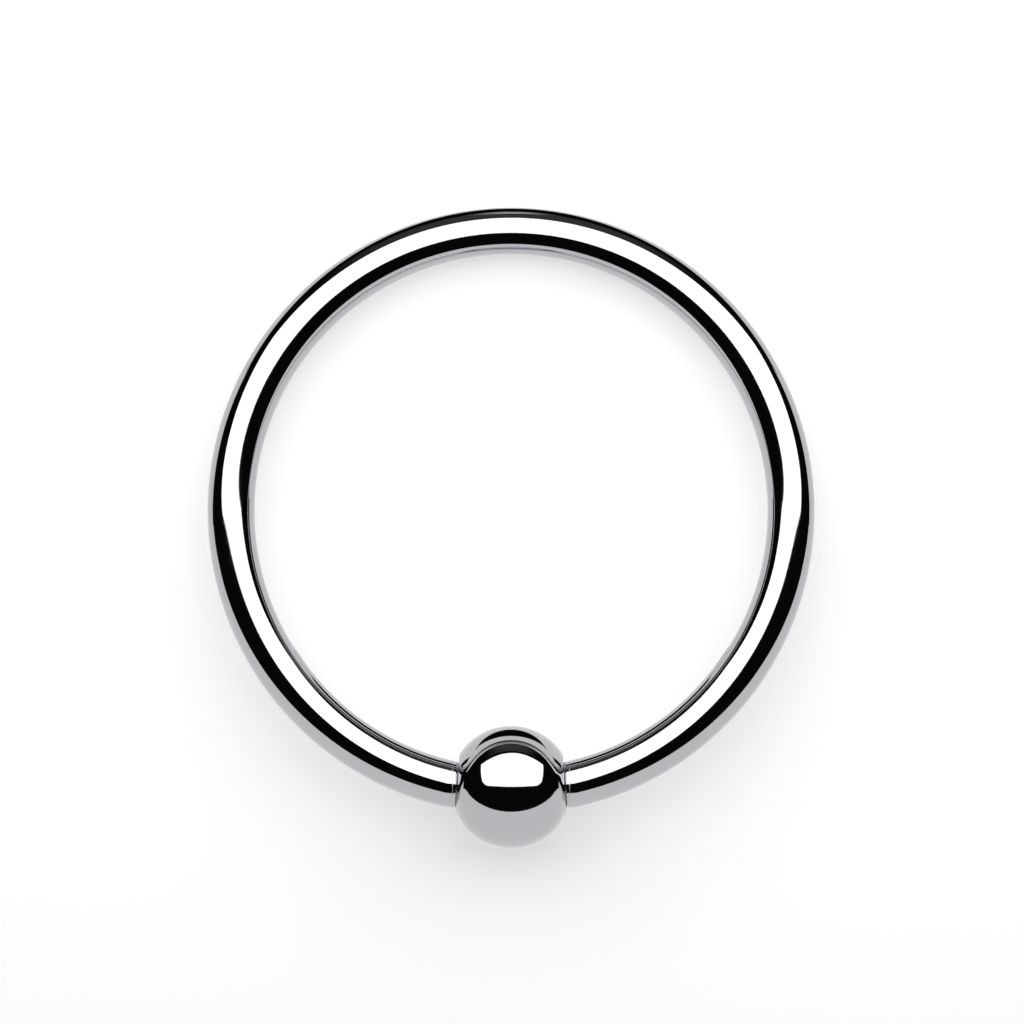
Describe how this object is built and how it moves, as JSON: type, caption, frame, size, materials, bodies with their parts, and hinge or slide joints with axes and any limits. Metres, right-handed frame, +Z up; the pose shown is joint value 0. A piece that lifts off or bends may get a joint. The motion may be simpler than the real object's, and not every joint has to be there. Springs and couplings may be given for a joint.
{
  "type": "fixed bead ring",
  "caption": "Round body-jewellery ring: a polished steel wire hoop with domed ends, its gap closed by a dimpled bead fixed on one end.",
  "frame": {"origin": "on the surface that the ring lies on, below the middle of its outline", "axes": "+Z up from the surface, +Y from the bead towards the wire across from it, +X towards the wire end that the bead is fixed on"},
  "size_m": [0.0154, 0.0162, 0.0031],
  "materials": {
    "wire_steel": "mirror-polished surgical steel wire",
    "bead_steel": "mirror-polished surgical steel bead"
  },
  "bodies": {
    "root": {"hoop": "wire_steel", "bead": "bead_steel"}
  },
  "joints": []
}
